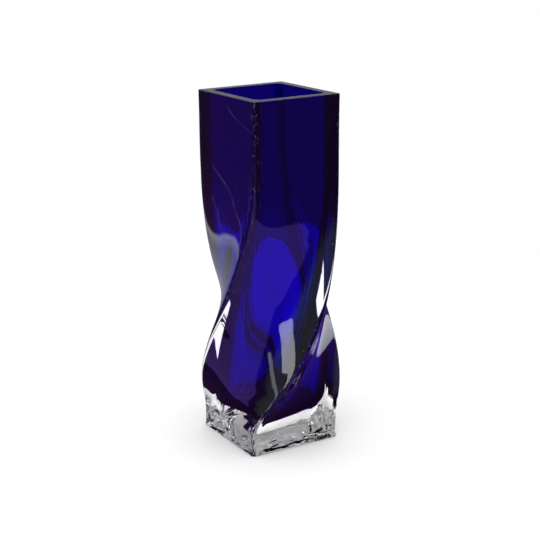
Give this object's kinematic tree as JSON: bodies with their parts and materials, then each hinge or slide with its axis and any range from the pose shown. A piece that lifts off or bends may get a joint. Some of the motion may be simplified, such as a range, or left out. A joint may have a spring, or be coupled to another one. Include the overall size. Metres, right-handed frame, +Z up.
{
  "type": "twisted square cased-glass vase",
  "caption": "Tall square vase of clear glass cased over a cobalt-blue layer, twisted a little over a quarter turn below the straight mouth and standing on a thick clear foot.",
  "frame": {"origin": "centre of the flat base, on the surface the vase stands on", "axes": "+Z up to the rim; X and Y square to the straight sides of the rim"},
  "size_m": [0.1019, 0.1019, 0.25],
  "materials": {
    "clear_crystal": "fire-polished clear crystal, ground rim and ground base",
    "cobalt_glass": "fire-polished transparent cobalt-blue glass"
  },
  "bodies": {
    "root": {"clear_casing": "clear_crystal", "cobalt_liner": "cobalt_glass"}
  },
  "joints": []
}
